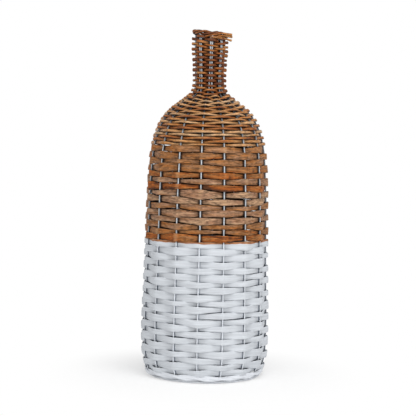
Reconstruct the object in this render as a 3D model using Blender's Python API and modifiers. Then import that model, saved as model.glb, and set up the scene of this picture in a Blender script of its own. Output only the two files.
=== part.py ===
"""Wicker bottle vase: sixteen wire stakes, woven over with split willow and thin rods.

Each stake is one wire. It starts as a spoke at the hub of the base, turns up at the
foot, follows the belly and the shoulder, and ends under the border of the rim. Two
weavers chase each other round the stakes in every zone: one passes in front of the
even stakes, the other in front of the odd ones, and both climb two rows in a turn.
Each weaver is spliced from lengths of willow, which meet end to end behind a stake.
All lengths are in metres. +Z is up, and the vase stands on the plane z = 0.
"""
import math

import bpy
import numpy as np

# Rises of the vase, which add up to its height of 600 mm: floor, belly, shoulder, neck and rim
BELLY_HEIGHT = 0.100
SIDE_RISE = 0.212
DOME_RISE = 0.192
NECK_RISE = 0.096

# Circle of the stakes: the belly and the neck, and how far the circles beside them lie in or out
BELLY_RADIUS = 0.1080
FOOT_INSET = 0.0070
SHOULDER_INSET = 0.0050
NECK_RADIUS = 0.0234
MOUTH_FLARE = 0.0018
FLARE_START = 0.044
FLARE_LENGTH = 0.016

# Where the strips of the body give way to rods: above the shoulder
BAND_RISE = 0.088

# Gaps: between two pieces, and between a weaver and the stake it passes
CLEARANCE = 0.0003
WEAVE_CLEARANCE = 0.0005

# Bends of the outline, as shares of the rise and of the change of radius
BELLY_SHARES = ((0.09, 0.26), (0.22, 0.55), (0.40, 0.80), (0.66, 0.95))
SIDE_SHARES = ((0.32, 0.36), (0.66, 0.72))
DOME_SHARES = (
    (0.29, 0.046), (0.443, 0.090), (0.589, 0.176), (0.698, 0.293), (0.771, 0.425),
    (0.838, 0.620), (0.890, 0.800), (0.938, 0.930),
)

# Fineness of the curve through the bends, and of the search for a weaver's offset
OUTLINE_SAMPLES = 12
OFFSET_ROUNDS = 6

# Wire stakes
STAKE_COUNT = 16
STAKE_RADIUS = 0.0015
FIRST_STAKE_ANGLE = math.radians(-6.0)
CORNER_RADIUS = 0.005
CORNER_STEPS = 3
STAKE_BEND = math.radians(7.0)
STAKE_STEP = 0.060
PAIR_SPACING = 0.0044
TOP_PAIR_SPACING = 0.0036
PAIRING_DROP = 0.018

# Hub of the base
HUB_RADIUS = 0.0130
HUB_THICKNESS = 0.0030
HUB_EDGE = 0.0005
HUB_SIDES = 24
HUB_RISE = 0.0060

# Split willow of the body
STRIP_THICKNESS = 0.0025
BODY_TURNS = 18
PAINTED_TURNS = 10
ROW_GAP = 0.0005

# Thin rods of the base, the shoulder and the neck
ROD_THICKNESS = 0.0044
BASE_TURNS = 5
SHOULDER_TURNS = 10
NECK_TURNS = 12
BASE_HUB_MARGIN = 0.0120
BASE_CORNER_MARGIN = 0.0110
PAIR_WRAP = 0.0017
PAIR_LIFT_SHARE = 1.16

# Share of a turn in which a weaver climbs, and in which its tips taper
BODY_SEAM_SHARE = 5 / 16
NECK_SEAM_SHARE = 6 / 16
BODY_SEAM_STAKE = 11
NECK_SEAM_STAKE = 12

# Lengths of willow that each weaver is spliced from, and where behind a stake they meet
LOWER_LENGTHS = 5
UPPER_LENGTHS = 4
SHOULDER_LENGTHS = 4
NECK_LENGTHS = 4
BASE_LENGTHS = 1
JOINT_SHARE = 0.3

# Twisted borders: one long rod, laid round three times and twisted on itself
BORDER_TURNS = 3
STRAND_GAP = 0.0005
FOOT_STRAND_RADIUS = 0.0016
FOOT_BORDER_INSET = 0.0060
FOOT_STEPS = 48
RIM_STRAND_RADIUS = 0.0019
RIM_BORDER_OUTSET = 0.0025
RIM_STEPS = 24
FOOT_FLAT_SHARE = 0.1
CUTTER_OVERRUN = 0.020

# Sizes that follow from the ones above
SHOULDER_HEIGHT = BELLY_HEIGHT + SIDE_RISE
BAND_HEIGHT = SHOULDER_HEIGHT + BAND_RISE
NECK_HEIGHT = SHOULDER_HEIGHT + DOME_RISE
PAIRING_HEIGHT = NECK_HEIGHT - PAIRING_DROP
FLARE_HEIGHT = NECK_HEIGHT + FLARE_START
TOTAL_HEIGHT = NECK_HEIGHT + NECK_RISE
FOOT_RADIUS = BELLY_RADIUS - FOOT_INSET
SHOULDER_RADIUS = BELLY_RADIUS - SHOULDER_INSET
MOUTH_RADIUS = NECK_RADIUS + MOUTH_FLARE
FOOT_BORDER_RADIUS = FOOT_RADIUS - FOOT_BORDER_INSET
RIM_BORDER_RADIUS = MOUTH_RADIUS + RIM_BORDER_OUTSET
STAKE_PITCH = 2 * math.pi / STAKE_COUNT
PAIR_COUNT = STAKE_COUNT // 2
FOOT_CORE_RADIUS = (2 * FOOT_STRAND_RADIUS + STRAND_GAP) / math.sqrt(3)
FOOT_BUNDLE_RADIUS = FOOT_CORE_RADIUS + FOOT_STRAND_RADIUS
FOOT_FLAT = 2 * FOOT_STRAND_RADIUS * FOOT_FLAT_SHARE
FOOT_BORDER_HEIGHT = FOOT_BUNDLE_RADIUS - FOOT_FLAT
SPOKE_HEIGHT = FOOT_BORDER_HEIGHT + FOOT_BUNDLE_RADIUS + CLEARANCE + STAKE_RADIUS
HUB_HEIGHT = SPOKE_HEIGHT + HUB_RISE
RIM_CORE_RADIUS = (2 * RIM_STRAND_RADIUS + STRAND_GAP) / math.sqrt(3)
RIM_BUNDLE_RADIUS = RIM_CORE_RADIUS + RIM_STRAND_RADIUS
RIM_BORDER_HEIGHT = TOTAL_HEIGHT - RIM_BUNDLE_RADIUS
STAKE_TOP = RIM_BORDER_HEIGHT - RIM_BUNDLE_RADIUS - CLEARANCE
BODY_WEAVE_START = SPOKE_HEIGHT + STAKE_RADIUS + 2 * CLEARANCE


def between(low, high, share):
    """Value at a share of the way from low to high."""
    return low + (high - low) * share


def outline_knots():
    """Radius and height of the bends in the stake's axis above the corner of the foot."""
    corner_top = SPOKE_HEIGHT + CORNER_RADIUS
    knots = [(FOOT_RADIUS, corner_top)]
    for rise, swell in BELLY_SHARES:
        knots.append((between(FOOT_RADIUS, BELLY_RADIUS, swell), between(corner_top, BELLY_HEIGHT, rise)))
    knots.append((BELLY_RADIUS, BELLY_HEIGHT))
    for rise, drop in SIDE_SHARES:
        knots.append((between(BELLY_RADIUS, SHOULDER_RADIUS, drop), between(BELLY_HEIGHT, SHOULDER_HEIGHT, rise)))
    knots.append((SHOULDER_RADIUS, SHOULDER_HEIGHT))
    for rise, drop in DOME_SHARES:
        knots.append((between(SHOULDER_RADIUS, NECK_RADIUS, drop), between(SHOULDER_HEIGHT, NECK_HEIGHT, rise)))
    knots.append((NECK_RADIUS, NECK_HEIGHT))
    knots.append((NECK_RADIUS, FLARE_HEIGHT))
    knots.append((MOUTH_RADIUS, FLARE_HEIGHT + FLARE_LENGTH))
    knots.append((MOUTH_RADIUS, STAKE_TOP))
    return knots


def smooth_run(knots):
    """Points on a curve through the knots, with the tangent at each knot along its neighbours' chord."""
    knots = [np.array(knot) for knot in knots]
    tangents = []
    for index, knot in enumerate(knots):
        before = knots[max(index - 1, 0)]
        after = knots[min(index + 1, len(knots) - 1)]
        tangents.append((after - before) / np.linalg.norm(after - before))
    points = []
    for start, end, leave, arrive in zip(knots, knots[1:], tangents, tangents[1:]):
        span = np.linalg.norm(end - start)
        for step in range(OUTLINE_SAMPLES):
            t = step / OUTLINE_SAMPLES
            blend = t * t * (3 - 2 * t)
            pull = t * (1 - t) ** 2 * span
            push = t * t * (1 - t) * span
            points.append(start * (1 - blend) + end * blend + leave * pull - arrive * push)
    points.append(knots[-1])
    return points


def stake_line():
    """Axis of a stake in its own plane: radius, height, length along it and outward normal.

    The line runs straight from the hub to the foot, round the corner, and up the outline.
    Points are kept where the line has turned by STAKE_BEND or run on for STAKE_STEP.
    """
    points = [np.array((HUB_RADIUS + CLEARANCE, HUB_HEIGHT))]
    for step in range(CORNER_STEPS):
        turn = 0.5 * math.pi * step / CORNER_STEPS
        out = FOOT_RADIUS - CORNER_RADIUS + CORNER_RADIUS * math.sin(turn)
        up = SPOKE_HEIGHT + CORNER_RADIUS - CORNER_RADIUS * math.cos(turn)
        points.append(np.array((out, up)))
    fine = smooth_run(outline_knots())
    points.append(fine[0])
    heading = fine[1] - fine[0]
    for here, following in zip(fine[1:-1], fine[2:]):
        ahead = following - here
        turned = abs(math.atan2(heading[0] * ahead[1] - heading[1] * ahead[0], heading @ ahead))
        if turned > STAKE_BEND or np.linalg.norm(here - points[-1]) > STAKE_STEP:
            points.append(here)
            heading = ahead
    points.append(fine[-1])
    points = np.array(points)
    runs = np.linalg.norm(np.diff(points, axis=0), axis=1)
    arc = np.concatenate(([0.0], np.cumsum(runs)))
    along = np.diff(points, axis=0) / runs[:, None]
    tangents = np.vstack((along[:1], along[:-1] + along[1:], along[-1:]))
    tangents /= np.linalg.norm(tangents, axis=1)[:, None]
    normals = np.column_stack((tangents[:, 1], -tangents[:, 0]))
    return points[:, 0], points[:, 1], arc, normals


LINE_RADIUS, LINE_HEIGHT, LINE_ARC, LINE_NORMAL = stake_line()


def arc_at_height(height):
    """Length along the stake at which its wall reaches a height."""
    return float(np.interp(height, LINE_HEIGHT[CORNER_STEPS + 1:], LINE_ARC[CORNER_STEPS + 1:]))


def arc_at_spoke(radius):
    """Length along the stake at which its spoke reaches a radius."""
    return float(np.interp(radius, LINE_RADIUS[:2], LINE_ARC[:2]))


def line_place(arc):
    """Radius, height and outward normal of the stake's axis at a length along it."""
    radius = float(np.interp(arc, LINE_ARC, LINE_RADIUS))
    height = float(np.interp(arc, LINE_ARC, LINE_HEIGHT))
    normal = np.array([np.interp(arc, LINE_ARC, LINE_NORMAL[:, axis]) for axis in (0, 1)])
    return radius, height, normal / np.linalg.norm(normal)


PAIRING_ARC = arc_at_height(PAIRING_HEIGHT)
PAIRED_ARC = arc_at_height(NECK_HEIGHT)


def half_pair_angle(arc):
    """Angle from the middle of a pair to each of its stakes, which close up below the neck."""
    radius = line_place(arc)[0]
    spacing = between(PAIR_SPACING, TOP_PAIR_SPACING, (arc - PAIRED_ARC) / (LINE_ARC[-1] - PAIRED_ARC))
    closed = 0.5 * min(spacing, PAIR_SPACING) / radius
    share = min(max((arc - PAIRING_ARC) / (PAIRED_ARC - PAIRING_ARC), 0.0), 1.0)
    return between(0.5 * STAKE_PITCH, closed, share * share * (3 - 2 * share))


def pair_angle(pair):
    """Angle of the middle of a pair of stakes, from the front towards +X."""
    return FIRST_STAKE_ANGLE + STAKE_PITCH * (2 * pair + 0.5)


def stake_angle(stake, arc):
    """Angle of a stake from the front towards +X: even ones lead their pair."""
    side = 1 if stake % 2 else -1
    return pair_angle(stake // 2) + side * half_pair_angle(arc)


def place(radius, angle, height):
    """Point at an angle from the front, which faces -Y, towards +X."""
    return np.array((radius * math.sin(angle), -radius * math.cos(angle), height))


class Weave:
    """One woven zone: where it runs on the stakes, its rows and what its weavers are made of."""

    def __init__(self, start, end, turns, thickness, seam_share, seam_stake, paired=False):
        self.start = start
        self.turns = turns
        self.thickness = thickness
        self.seam_share = seam_share
        self.seam_stake = seam_stake
        self.paired = paired
        self.pitch = (end - start) / (2 * turns)

    def row_share(self, turn):
        """Share of the full row height: the tips taper in the seam, before the first turn and in the last."""
        rise = (turn + self.seam_share) / self.seam_share
        fall = (self.turns - turn) / self.seam_share
        return min(max(min(rise, fall), 0.0), 1.0)

    def row_arc(self, turn, order):
        """Middle of a weaver's row at a number of turns: all rows below it at that angle, and half its own."""
        whole = math.floor(turn)
        below = sum(2 * self.row_share(turn - whole + lower) for lower in range(-1, whole))
        return self.start + self.pitch * (below + (0.5 + order) * self.row_share(turn))

    def passes_outside(self, stake, order):
        """Whether a weaver passes in front of a stake: it takes single stakes or pairs in turn."""
        post = stake // 2 if self.paired else stake
        return (post + order) % 2 == 0

    def stop(self, number, order):
        """Point of a weaver where it passes stake number NUMBER, its lean and its share of the full section."""
        turn = number / STAKE_COUNT
        share = self.row_share(turn)
        arc = self.row_arc(turn, order)
        radius, height, normal = line_place(arc)
        stake = self.seam_stake + number
        reach = STAKE_RADIUS + WEAVE_CLEARANCE + 0.5 * self.thickness * share
        if self.paired:
            half = half_pair_angle(arc) + PAIR_WRAP / radius
            angle = pair_angle(stake // 2) + (half if stake % 2 else -half)
            offset = reach * PAIR_LIFT_SHARE
        else:
            angle = stake_angle(stake, arc)
            offset = crossing_offset(reach, radius, normal[0])
        side = offset if self.passes_outside(stake, order) else -offset
        point = place(radius + side * normal[0], angle, height + side * normal[1])
        return point, math.atan2(normal[1], normal[0]), share

    def hides_joint(self, stake, order):
        """Whether a joint may follow a stake: the weaver passes behind it, and behind the next of its pair."""
        last_of_pair = self.paired and stake % 2 == 1
        return not (self.passes_outside(stake, order) or last_of_pair)

    def joint(self, number, order):
        """End of one length and start of the next: just past the first stake from NUMBER on that hides them.

        On the neck they meet between the two stakes of a pair.
        """
        behind = math.ceil(number)
        while not self.hides_joint(self.seam_stake + behind, order):
            behind += 1
        run = np.linalg.norm(self.stop(behind + 1, order)[0] - self.stop(behind, order)[0])
        half_gap = 0.5 * CLEARANCE / run
        return behind + JOINT_SHARE - half_gap, behind + JOINT_SHARE + half_gap

    def path(self, order, first, last):
        """Stops of a weaver from FIRST to LAST: a share of a stop lies on the straight run between two."""
        numbers = sorted({first, last, *range(math.ceil(first), math.floor(last) + 1)})
        stops = []
        for number in numbers:
            low = math.floor(number)
            share = number - low
            point, lean, size = self.stop(low, order)
            if share:
                ahead, lean_ahead, size_ahead = self.stop(low + 1, order)
                point = between(point, ahead, share)
                lean = between(lean, lean_ahead, share)
                size = between(size, size_ahead, share)
            stops.append((point, lean, size))
        return stops


def crossing_offset(reach, radius, lean):
    """Offset from a stake's axis at which the weaver's straight run on to the next stake clears it by REACH.

    The run drops by twice the offset and by the sagitta of the circle over its own length, and
    the offset grows with the slope of that run, so a few rounds settle it.
    """
    run = radius * math.sin(STAKE_PITCH)
    sagitta = abs(lean) * radius * (1 - math.cos(STAKE_PITCH))
    offset = reach
    for _ in range(OFFSET_ROUNDS):
        offset = reach * math.hypot(1, (2 * offset + sagitta) / run)
    return offset


def linear(value):
    """An sRGB hex colour as linear red, green, blue and alpha."""
    channels = [int(value[i:i + 2], 16) / 255 for i in (0, 2, 4)]
    return [c / 12.92 if c <= 0.04045 else ((c + 0.055) / 1.055) ** 2.4 for c in channels] + [1.0]


def material(name, colour, roughness, metallic=0.0):
    """A plain Principled material."""
    made = bpy.data.materials.new(name)
    made.use_nodes = True
    shader = made.node_tree.nodes["Principled BSDF"]
    shader.inputs["Base Color"].default_value = linear(colour)
    shader.inputs["Roughness"].default_value = roughness
    shader.inputs["Metallic"].default_value = metallic
    made.diffuse_color = linear(colour)
    return made


def add_curve(name, points, collection, radius=0.0, closed=False, resolution=0):
    """A poly curve object through POINTS, with a round section of RADIUS."""
    data = bpy.data.curves.new(name, "CURVE")
    data.dimensions = "3D"
    data.resolution_u = 1
    data.render_resolution_u = 1
    data.bevel_depth = radius
    data.bevel_resolution = resolution
    data.use_fill_caps = not closed
    spline = data.splines.new("POLY")
    spline.points.add(len(points) - 1)
    for target, point in zip(spline.points, points):
        target.co = (*point, 1.0)
    spline.use_cyclic_u = closed
    made = bpy.data.objects.new(name, data)
    collection.objects.link(made)
    return made


def strip_section(collection, thickness, height):
    """The flat section of split willow: a guide curve that the strips are swept with."""
    corners = [(-1, -1), (-1, 1), (1, 1), (1, -1)]
    points = [(0.5 * thickness * x, 0.5 * height * y, 0.0) for x, y in corners]
    section = add_curve("strip_section", points, collection, closed=True)
    section.data.dimensions = "2D"
    section.data.fill_mode = "NONE"
    section.hide_render = True
    section.display_type = "WIRE"
    return section


def add_length(name, weave, order, finish, collection, first, last, section=None):
    """One length of willow, from a tapered tip or a joint to the next one."""
    stops = weave.path(order, first, last)
    rod = 0.0 if section else 0.5 * weave.thickness
    made = add_curve(name, [stop[0] for stop in stops], collection, radius=rod)
    made.data.twist_mode = "Z_UP"
    if section:
        made.data.bevel_mode = "OBJECT"
        made.data.bevel_object = section
    for target, (_, lean, share) in zip(made.data.splines[0].points, stops):
        target.tilt = -lean
        target.radius = share
    finish_piece(made, finish)


def add_weaver(name, weave, order, finish, collection, lengths, first=None, last=None, section=None):
    """One weaver between two stops, or between its tapered tips, spliced from so many equal lengths."""
    begin = 1 - round(STAKE_COUNT * weave.seam_share) if first is None else first
    end = STAKE_COUNT * weave.turns - 1 if last is None else last
    start = begin
    for number in range(1, lengths):
        stop, following = weave.joint(between(begin, end, number / lengths), order)
        add_length(f"{name}_{number}", weave, order, finish, collection, start, stop, section)
        start = following
    add_length(f"{name}_{lengths}", weave, order, finish, collection, start, end, section)


def finish_piece(made, finish):
    """Give a piece its material."""
    made.data.materials.append(finish)


def add_stakes(collection, finish):
    """The sixteen wires, from the hub of the base to the border of the rim."""
    for stake in range(STAKE_COUNT):
        points = []
        for radius, height, arc in zip(LINE_RADIUS, LINE_HEIGHT, LINE_ARC):
            points.append(place(radius, stake_angle(stake, arc), height))
        wire = add_curve(f"stake_{stake + 1:02d}", points, collection, STAKE_RADIUS, resolution=1)
        finish_piece(wire, finish)


def add_hub(collection, finish):
    """The disc that the inner ends of the stakes are welded to."""
    bpy.ops.mesh.primitive_cylinder_add(vertices=HUB_SIDES, radius=HUB_RADIUS, depth=HUB_THICKNESS)
    hub = bpy.context.object
    hub.name = "base_hub"
    hub.location.z = HUB_HEIGHT
    for owner in list(hub.users_collection):
        owner.objects.unlink(hub)
    collection.objects.link(hub)
    edge = hub.modifiers.new("edge", "BEVEL")
    edge.width = HUB_EDGE
    edge.segments = 1
    finish_piece(hub, finish)


def border_points(radius, height, core, twists, steps, start):
    """Centre line of a rod laid round three times and twisted on itself into a closed border.

    TWISTS turns of the twist fall on the three rounds together, so the end meets the start.
    The rod lies lowest at the START angle, and at equal steps from it all round.
    """
    points = []
    for number in range(BORDER_TURNS * steps):
        angle = 2 * math.pi * number / steps
        twist = angle * twists / BORDER_TURNS - 0.5 * math.pi
        point = place(radius + core * math.cos(twist), start + angle, height + core * math.sin(twist))
        points.append(point)
    return points


def add_foot_border(collection, cutters, finish):
    """The twisted border under the stakes' corners, cut flat where the vase stands on it."""
    start = FIRST_STAKE_ANGLE + 0.5 * STAKE_PITCH
    points = border_points(FOOT_BORDER_RADIUS, FOOT_BORDER_HEIGHT, FOOT_CORE_RADIUS, STAKE_COUNT, FOOT_STEPS, start)
    rod = add_curve("foot_border_rod", points, collection, FOOT_STRAND_RADIUS, closed=True, resolution=1)
    graph = bpy.context.evaluated_depsgraph_get()
    mesh = bpy.data.meshes.new_from_object(rod.evaluated_get(graph))
    bpy.data.objects.remove(rod)
    border = bpy.data.objects.new("foot_border", mesh)
    collection.objects.link(border)
    side = 2 * (FOOT_BORDER_RADIUS + FOOT_BUNDLE_RADIUS + CUTTER_OVERRUN)
    bpy.ops.mesh.primitive_cube_add(size=1.0, location=(0, 0, -0.5 * CUTTER_OVERRUN))
    cutter = bpy.context.object
    cutter.name = "floor_cutter"
    cutter.scale = (side, side, CUTTER_OVERRUN)
    cutter.hide_render = True
    cutter.display_type = "WIRE"
    for owner in list(cutter.users_collection):
        owner.objects.unlink(cutter)
    cutters.objects.link(cutter)
    cut = border.modifiers.new("floor", "BOOLEAN")
    cut.operation = "DIFFERENCE"
    cut.solver = "EXACT"
    cut.object = cutter
    finish_piece(border, finish)


def add_rim_border(collection, finish):
    """The twisted border that closes the mouth over the tops of the stakes."""
    start = pair_angle(0)
    points = border_points(RIM_BORDER_RADIUS, RIM_BORDER_HEIGHT, RIM_CORE_RADIUS, PAIR_COUNT, RIM_STEPS, start)
    rim = add_curve("rim_border", points, collection, RIM_STRAND_RADIUS, closed=True, resolution=1)
    finish_piece(rim, finish)


def add_body(collection, cutters, painted, natural):
    """The strips of the body: the painted lower ones and the plain upper ones meet behind stakes."""
    start = arc_at_height(BODY_WEAVE_START)
    body = Weave(start, arc_at_height(BAND_HEIGHT), BODY_TURNS, STRIP_THICKNESS, BODY_SEAM_SHARE, BODY_SEAM_STAKE)
    section = strip_section(cutters, STRIP_THICKNESS, body.pitch - ROW_GAP)
    for order, letter in enumerate("ab"):
        lower, upper = body.joint(STAKE_COUNT * (PAINTED_TURNS + 1 - order - body.seam_share), order)
        name = f"lower_weaver_{letter}"
        add_weaver(name, body, order, painted, collection, LOWER_LENGTHS, last=lower, section=section)
        name = f"upper_weaver_{letter}"
        add_weaver(name, body, order, natural, collection, UPPER_LENGTHS, first=upper, section=section)


def add_rods(collection, painted, natural):
    """The thin rods of the base, the shoulder and the neck."""
    base_start = arc_at_spoke(HUB_RADIUS + BASE_HUB_MARGIN)
    base_end = arc_at_spoke(FOOT_RADIUS - CORNER_RADIUS) - BASE_CORNER_MARGIN
    band = arc_at_height(BAND_HEIGHT)
    body = (BODY_SEAM_SHARE, BODY_SEAM_STAKE)
    zones = {
        "base": Weave(base_start, base_end, BASE_TURNS, ROD_THICKNESS, *body),
        "shoulder": Weave(band, PAIRING_ARC, SHOULDER_TURNS, ROD_THICKNESS, *body),
        "neck": Weave(
            PAIRING_ARC, LINE_ARC[-1], NECK_TURNS, ROD_THICKNESS, NECK_SEAM_SHARE, NECK_SEAM_STAKE, paired=True
        ),
    }
    lengths = {"base": BASE_LENGTHS, "shoulder": SHOULDER_LENGTHS, "neck": NECK_LENGTHS}
    for zone, weave in zones.items():
        weave.thickness = min(weave.thickness, weave.pitch - ROW_GAP)
        finish = painted if zone == "base" else natural
        for order, letter in enumerate("ab"):
            add_weaver(f"{zone}_weaver_{letter}", weave, order, finish, collection, lengths[zone])


def add_collection(name):
    """A new collection in the scene."""
    made = bpy.data.collections.new(name)
    bpy.context.scene.collection.children.link(made)
    return made


def main():
    """Build the vase in an empty scene."""
    for old in list(bpy.data.objects):
        bpy.data.objects.remove(old)
    parts = add_collection("wicker_bottle_vase")
    cutters = add_collection("cutters_and_guides")
    steel = material("coated_steel_wire", "C6CBD0", 0.42, 0.35)
    painted = material("white_painted_willow", "D3D7DC", 0.55)
    natural = material("brown_willow", "A8703F", 0.62)
    add_hub(parts, steel)
    add_stakes(parts, steel)
    add_foot_border(parts, cutters, painted)
    add_body(parts, cutters, painted, natural)
    add_rods(parts, painted, natural)
    add_rim_border(parts, natural)


main()
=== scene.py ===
"""Wicker bottle vase: the woven willow, the wires, their finishes, the light and the camera."""
import math

import bpy
import numpy as np
from mathutils import Matrix, Vector


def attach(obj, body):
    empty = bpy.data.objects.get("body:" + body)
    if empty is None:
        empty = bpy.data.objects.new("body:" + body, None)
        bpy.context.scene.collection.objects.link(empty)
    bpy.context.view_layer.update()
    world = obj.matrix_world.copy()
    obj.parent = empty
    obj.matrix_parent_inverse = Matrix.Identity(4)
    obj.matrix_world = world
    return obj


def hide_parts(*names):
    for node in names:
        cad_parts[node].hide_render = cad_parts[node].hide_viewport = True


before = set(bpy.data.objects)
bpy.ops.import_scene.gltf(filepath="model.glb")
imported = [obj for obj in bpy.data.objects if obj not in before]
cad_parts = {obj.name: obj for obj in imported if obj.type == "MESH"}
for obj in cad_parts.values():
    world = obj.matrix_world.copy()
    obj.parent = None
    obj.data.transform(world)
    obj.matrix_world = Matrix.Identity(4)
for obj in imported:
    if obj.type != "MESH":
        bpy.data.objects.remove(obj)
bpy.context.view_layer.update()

# Whole vase, in metres: sizes as in the solids, but for small fits of the outline, the rim and the rods.
# Rods follow the strips from BAND_HEIGHT up, and go over pairs of stakes from PAIRING_HEIGHT
MM = 0.001
BAND_HEIGHT = 0.400
PAINT_HEIGHT = 0.2365
PAIRING_HEIGHT = 0.486

# Circle of the stakes, from the foot to the mouth
FOOT_RADIUS = 0.101
BELLY_RADIUS = 0.108
BELLY_HEIGHT = 0.100
SHOULDER_RADIUS = 0.103
SHOULDER_HEIGHT = 0.312
NECK_RADIUS = 0.0234
NECK_HEIGHT = 0.504
MOUTH_RADIUS = 0.0252
FLARE_HEIGHT = 0.548
FLARE_LENGTH = 0.016
BELLY_SHARES = ((0.09, 0.34), (0.22, 0.72), (0.40, 0.92), (0.66, 0.99))
SIDE_SHARES = ((0.32, 0.36), (0.66, 0.72))
DOME_SHARES = (
    (0.29, 0.036), (0.443, 0.074), (0.589, 0.166), (0.698, 0.293), (0.771, 0.44),
    (0.838, 0.645), (0.89, 0.82), (0.938, 0.94),
)

# Wires, their spokes, hub and corner at the foot. A neck rod bends PAIR_PASSING beyond the two wires of a
# pair, and it stands off them PAIR_REACH times as far as it must
STAKES = 16
STAKE_RADIUS = 0.00135
STAKE_TOP = 0.5912
FIRST_STAKE = math.radians(-6.0)
STAKE_PITCH = 2 * math.pi / STAKES
SPOKE_HEIGHT = 0.009
CORNER_RADIUS = 0.005
HUB_RADIUS = 0.013
HUB_HEIGHT = 0.015
PAIR_SPACING = 0.0044
TOP_PAIR_SPACING = 0.0028
PAIR_PASSING = 0.0017
PAIR_REACH = 1.14
CLEARANCE = 0.0003

# Borders: a rod laid round three times and twisted on itself, with so many crests round the ring
BORDER_TURNS = 3
STRAND_GAP = 0.0002
FOOT_STRAND = 0.0015
FOOT_CRESTS = 16
FOOT_CORE = (2 * FOOT_STRAND + STRAND_GAP) / math.sqrt(3)
FOOT_BORDER_RADIUS = 0.0962
FOOT_BORDER_HEIGHT = 0.003
RIM_STRAND = 0.0018
RIM_CRESTS = 11
RIM_LOOSENESS = 1.12
RIM_CORE = RIM_LOOSENESS * (2 * RIM_STRAND + STRAND_GAP) / math.sqrt(3)
RIM_BORDER_RADIUS = 0.0277
RIM_BORDER_HEIGHT = 0.5957

# Two thin strips twined round the foot
TWINE_HEIGHT = 0.0092
TWINE_OUTSET = 0.0014
TWINE_WIDTH = 0.0058
TWINE_DEPTH = 0.0018

# Zones of the weave: turns of each pair of weavers, and how much the edges of the rows stray, as their share
BODY_ZONE = (18, 0.17)
SHOULDER_ZONE = (10, 0.10)
NECK_ZONE = (12, 0.14)
BASE_ZONE = (5, 0.06)
PAINTED_TURNS = 10
BODY_WEAVE_START = 0.0112
BASE_WEAVE_START = 0.025
BASE_WEAVE_END = 0.085

# Seams where a zone's weavers start and end: share of a turn, and the stake at which the first turn begins
SEAM = (5 / STAKES, 11)
NECK_SEAM = (6 / STAKES, 12)

# A weaver has points from one stake to the next, bends rounded off so many times, a stray from its row, a
# bulge that it stands further off the wires outside, and a thickness. A strip also has its width between two
# stakes, the change of that over one and its unevenness, as shares of the row; how far it rolls; how dark the
# painted shade on its edges is; how far the painted shadow behind a stake reaches; and the crown of its outer
# face
PLAIN_STRIP = {
    "steps": 14, "rounding": 1, "stray": 0.25 * MM, "bulge": 1.0 * MM, "thickness": 0.0024, "width": 0.94,
    "swell": 0.15, "ragged": 0.08, "roll": math.radians(4.5), "painted_gloom": 0.55, "shadow": 0.11, "crown": 0.0,
}
PAINTED_STRIP = {
    "steps": 14, "rounding": 5, "stray": 0.25 * MM, "bulge": 2.0 * MM, "thickness": 0.0024, "width": 1.05,
    "swell": 0.04, "ragged": 0.05, "roll": math.radians(2.0), "painted_gloom": 0.0, "shadow": 0.035, "crown": 0.20,
}

# How much wider the strips are at the back, as a share of the row
BACK_WIDENING = 0.14

# A rod also has its height and how much taller it is at the back, as a share; the range of its tones; how far
# outside the painted shade behind the stakes begins and how steeply it deepens; and how closely the rest of
# the painted shade keeps to its edges
SHOULDER_ROD = {
    "steps": 11, "rounding": 3, "stray": 0.2 * MM, "bulge": 1.0 * MM, "thickness": 0.0032, "height": 0.0047,
    "taller": 0.26, "tones": (0.25, 0.95), "shade": (-0.7, 3.0), "sharpness": 2.2,
}
NECK_ROD = {
    "steps": 11, "rounding": 3, "stray": 0.35 * MM, "bulge": 1.6 * MM, "thickness": 0.0034, "height": 0.0044,
    "taller": 0.18, "tones": (0.0, 0.4), "shade": (-0.1, 1.2), "sharpness": 2.2,
}
BASE_ROD = {
    "steps": 11, "rounding": 3, "stray": 0.2 * MM, "bulge": 0.0, "thickness": 0.0038, "height": 0.0042,
    "taller": 0.10, "tones": (0.0, 1.0), "shade": (0.0, 1.0), "sharpness": 3,
}

# The handmade shape: slope of the mouth, wave of the rows where the neck begins, how much higher the upper
# rows lie at the back, and how far the weavers slip towards level at the front, where 1 is all the way
RIM_SLOPE = 0.0028
NECK_WAVE = 0.0012
BACK_CLIMB = 0.0056
LEVELLING = 0.5

# Rod ends at the mouth, in degrees and millimetres: where each joins the ring and leaves it, its straight
# run, its heights over the border's middle, its outset, and its thickness as shares of the border's rod
RIM_ENDS = (
    (-16, 34, 24, (-7.0, -0.8, -2.4), 2.4, (0.7, 1.1, 1.35)),
    (0, 38, 24, (-8.6, -4.6, -5.8), 2.2, (0.6, 1.0, 1.2)),
    (8, 38, 23, (-8.6, -9.4, -12.0), 2.0, (0.6, 1.0, 1.15)),
)

# Camera, light from all round, and lamps: name, side, power, place and the point each looks at
CAMERA_SPOT = (0.0021, -2.104, 0.402)
CAMERA_LENS = 103.9
CAMERA_PITCH = math.radians(3.0)
CAMERA_ROLL = math.radians(1.17)
AROUND_STRENGTH = 0.45
LAMPS = (
    ("key_right", 1.8, 45.0, (2.1, -2.5, 1.0), (0, 0, 0.25)),
    ("fill_left", 2.0, 33.5, (-2.2, -2.4, 0.7), (0, 0, 0.25)),
    ("top_soft", 1.2, 24.0, (0.3, -0.9, 2.3), (0, 0, 0.4)),
)

# Tones of the plain strips by turn, A then B: 0 dark brown, 0.2 orange, 0.5 tan, 0.8 grey beige, 1 pale
BODY_TONES = (
    {10: 0.55, 11: 0.40, 12: 0.80, 13: 0.60, 14: 0.85, 15: 0.75, 16: 0.50, 17: 0.55},
    {10: 0.35, 11: 0.65, 12: 0.70, 13: 0.90, 14: 0.18, 15: 0.35, 16: 0.65, 17: 0.55},
)

rng = np.random.default_rng(3652)


def between(low, high, share):
    """The value at a share of the way from low to high."""
    return low + (high - low) * share


def ease(share):
    """A share held between 0 and 1 and eased at both ends: three squares less two cubes."""
    share = np.clip(share, 0.0, 1.0)
    return share * share * (3 - 2 * share)


def unit(vectors):
    """Vectors scaled to a length of 1."""
    return vectors / np.linalg.norm(vectors, axis=-1, keepdims=True)


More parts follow.
